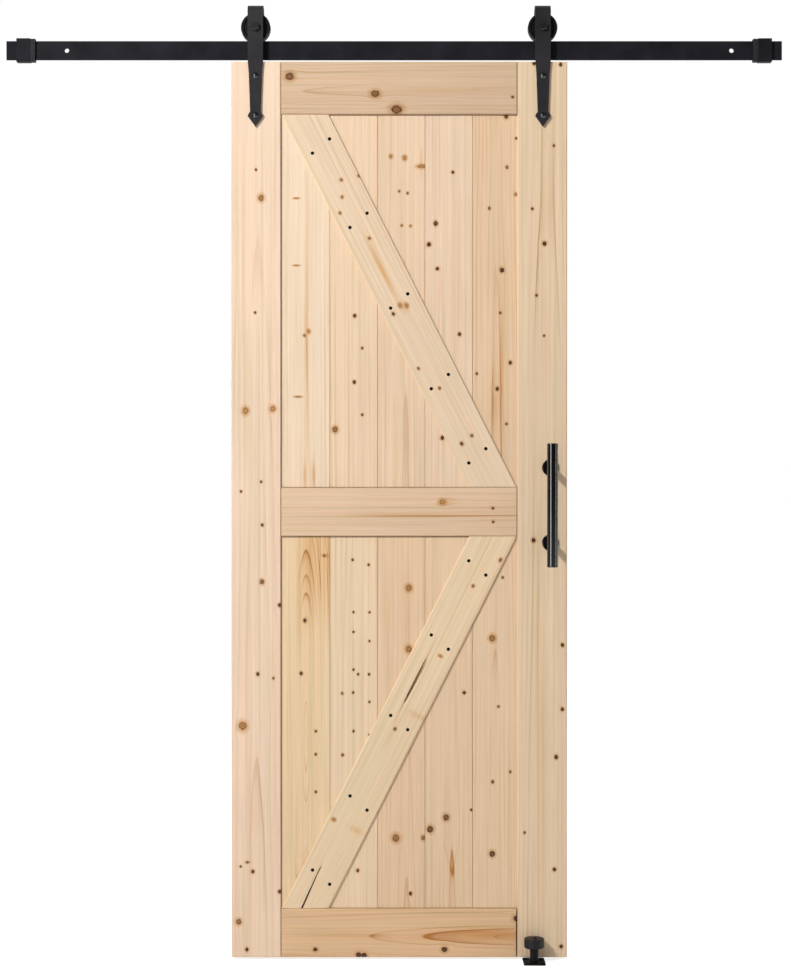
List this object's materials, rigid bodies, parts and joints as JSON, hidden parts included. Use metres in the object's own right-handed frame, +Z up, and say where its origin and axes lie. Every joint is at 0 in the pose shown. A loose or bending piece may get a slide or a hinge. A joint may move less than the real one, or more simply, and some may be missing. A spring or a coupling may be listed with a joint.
{
  "type": "sliding barn door",
  "caption": "Framed softwood door with diagonal braces that slides on a flat black rail from strap hangers with grooved wheels, with a pull bar, rail stops and a floor stay roller.",
  "frame": {"origin": "on the rail's back face, midway between its two outer wall holes", "axes": "+X along the rail to the right as seen from the front, +Y to the wall, +Z up; the door's front faces -Y"},
  "size_m": [1.85, 0.1218, 2.277],
  "materials": {
    "spruce": "raw, planed, with knots",
    "dowel_beech": "raw, turned",
    "rail_steel": "satin black powder coat",
    "black_bolts": "black oxide",
    "bearing_steel": "ground",
    "wheel_nylon": "turned black nylon",
    "handle_black": "glossy black coat",
    "bumper_rubber": "moulded",
    "bush_bronze": "sintered"
  },
  "bodies": {
    "rail_set": {"rail": "rail_steel", "left_stop": "rail_steel", "right_stop": "rail_steel", "left_bumper": "bumper_rubber", "right_bumper": "bumper_rubber", "stop_screws": "black_bolts", "guide_plate": "rail_steel", "guide_post": "rail_steel", "guide_bolt": "black_bolts"},
    "door": {"left_stile": "spruce", "right_stile": "spruce", "top_rail": "spruce", "middle_rail": "spruce", "bottom_rail": "spruce", "frame_dowels": "dowel_beech", "upper_board_1": "spruce", "upper_board_2": "spruce", "upper_board_3": "spruce", "upper_board_4": "spruce", "upper_board_5": "spruce", "lower_board_1": "spruce", "lower_board_2": "spruce", "lower_board_3": "spruce", "lower_board_4": "spruce", "lower_board_5": "spruce", "upper_brace": "spruce", "lower_brace": "spruce", "brace_screws": "black_bolts", "left_hanger": "rail_steel", "right_hanger": "rail_steel", "hanger_bolts": "black_bolts", "hanger_washers": "black_bolts", "hanger_nuts": "black_bolts", "axle_bolts": "black_bolts", "axle_washers": "black_bolts", "axle_nuts": "black_bolts", "axle_spacers": "bearing_steel", "bearing_inner_rings": "bearing_steel", "handle_bar": "handle_black", "handle_posts": "handle_black", "handle_bases": "handle_black", "handle_bolts": "black_bolts", "handle_washers": "black_bolts"},
    "left_wheel": {"left_wheel": "wheel_nylon", "left_bearing_ring": "bearing_steel", "left_bearing_balls": "bearing_steel"},
    "right_wheel": {"right_wheel": "wheel_nylon", "right_bearing_ring": "bearing_steel", "right_bearing_balls": "bearing_steel"},
    "guide_roller": {"guide_roller": "wheel_nylon", "guide_bush": "bush_bronze"}
  },
  "joints": [
    {"name": "door_slide", "type": "slide", "parent": "rail_set", "child": "door", "axis": [1, 0, 0], "range_m": [-0.501, 0.477]},
    {"name": "left_wheel_spin", "type": "hinge", "parent": "door", "child": "left_wheel", "pos_m": [-0.342, -0.003, 0.0533], "axis": [0, 1, 0], "continuous": true},
    {"name": "right_wheel_spin", "type": "hinge", "parent": "door", "child": "right_wheel", "pos_m": [0.342, -0.003, 0.0533], "axis": [0, 1, 0], "continuous": true},
    {"name": "guide_roller_spin", "type": "hinge", "parent": "rail_set", "child": "guide_roller", "pos_m": [0.32, -0.042, -2.122], "axis": [0, 0, 1], "continuous": true}
  ],
  "couplings": [
    {"joint": "left_wheel_spin", "follows": "door_slide", "rad_per_m": 32.787},
    {"joint": "right_wheel_spin", "follows": "door_slide", "rad_per_m": 32.787}
  ]
}
